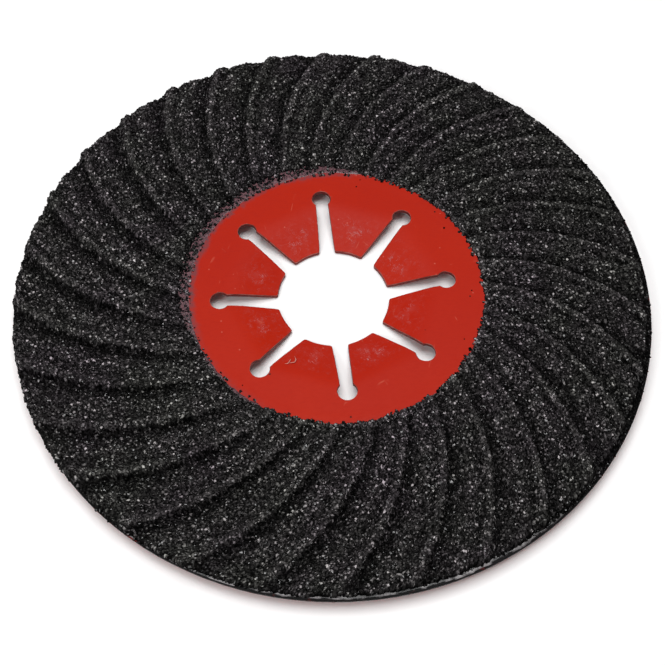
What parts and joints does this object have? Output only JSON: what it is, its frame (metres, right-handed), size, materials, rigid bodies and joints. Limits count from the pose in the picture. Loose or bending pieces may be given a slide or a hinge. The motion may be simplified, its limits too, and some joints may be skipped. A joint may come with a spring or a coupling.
{
  "type": "angle grinder abrasive disc",
  "caption": "Semi-flexible abrasive disc for an angle grinder: red fibre backing, spiral ridges of coarse black grit, and an arbor hole with keyhole relief slots.",
  "frame": {"origin": "on the axis of the arbor hole, at the level of the lowest points of the disc, the tips of the bent-down tabs", "axes": "+Z is the disc's axis, out of the grinding face; +X runs along one of the eight relief slots"},
  "size_m": [0.125, 0.125, 0.0062],
  "materials": {
    "red_fibre": "satin red vulcanised fibre",
    "resin": "glossy dark phenolic resin",
    "grit": "coarse black silicon carbide grit in resin, glinting"
  },
  "bodies": {
    "backing": {"backing_ring": "red_fibre", "make_coat": "resin", "abrasive_bed": "grit", "abrasive_ridges": "grit"},
    "tab_1": {"backing_tab_1": "red_fibre"},
    "tab_2": {"backing_tab_2": "red_fibre"},
    "tab_3": {"backing_tab_3": "red_fibre"},
    "tab_4": {"backing_tab_4": "red_fibre"},
    "tab_5": {"backing_tab_5": "red_fibre"},
    "tab_6": {"backing_tab_6": "red_fibre"},
    "tab_7": {"backing_tab_7": "red_fibre"},
    "tab_8": {"backing_tab_8": "red_fibre"}
  },
  "joints": [
    {"name": "tab_1_flex", "type": "hinge", "parent": "backing", "child": "tab_1", "pos_m": [0.01929, 0.00799, 0.00322], "axis": [-0.3827, 0.9239, 0], "range_deg": [-5, 15.7], "stiffness_Nm_per_rad": 1},
    {"name": "tab_2_flex", "type": "hinge", "parent": "backing", "child": "tab_2", "pos_m": [0.00799, 0.01929, 0.00322], "axis": [-0.9239, 0.3827, 0], "range_deg": [-5, 15.7], "stiffness_Nm_per_rad": 1},
    {"name": "tab_3_flex", "type": "hinge", "parent": "backing", "child": "tab_3", "pos_m": [-0.00799, 0.01929, 0.00322], "axis": [-0.9239, -0.3827, 0], "range_deg": [-5, 15.7], "stiffness_Nm_per_rad": 1},
    {"name": "tab_4_flex", "type": "hinge", "parent": "backing", "child": "tab_4", "pos_m": [-0.01929, 0.00799, 0.00322], "axis": [-0.3827, -0.9239, 0], "range_deg": [-5, 15.7], "stiffness_Nm_per_rad": 1},
    {"name": "tab_5_flex", "type": "hinge", "parent": "backing", "child": "tab_5", "pos_m": [-0.01929, -0.00799, 0.00322], "axis": [0.3827, -0.9239, 0], "range_deg": [-5, 15.7], "stiffness_Nm_per_rad": 1},
    {"name": "tab_6_flex", "type": "hinge", "parent": "backing", "child": "tab_6", "pos_m": [-0.00799, -0.01929, 0.00322], "axis": [0.9239, -0.3827, 0], "range_deg": [-5, 15.7], "stiffness_Nm_per_rad": 1},
    {"name": "tab_7_flex", "type": "hinge", "parent": "backing", "child": "tab_7", "pos_m": [0.00799, -0.01929, 0.00322], "axis": [0.9239, 0.3827, 0], "range_deg": [-5, 15.7], "stiffness_Nm_per_rad": 1},
    {"name": "tab_8_flex", "type": "hinge", "parent": "backing", "child": "tab_8", "pos_m": [0.01929, -0.00799, 0.00322], "axis": [0.3827, 0.9239, 0], "range_deg": [-5, 15.7], "stiffness_Nm_per_rad": 1}
  ]
}
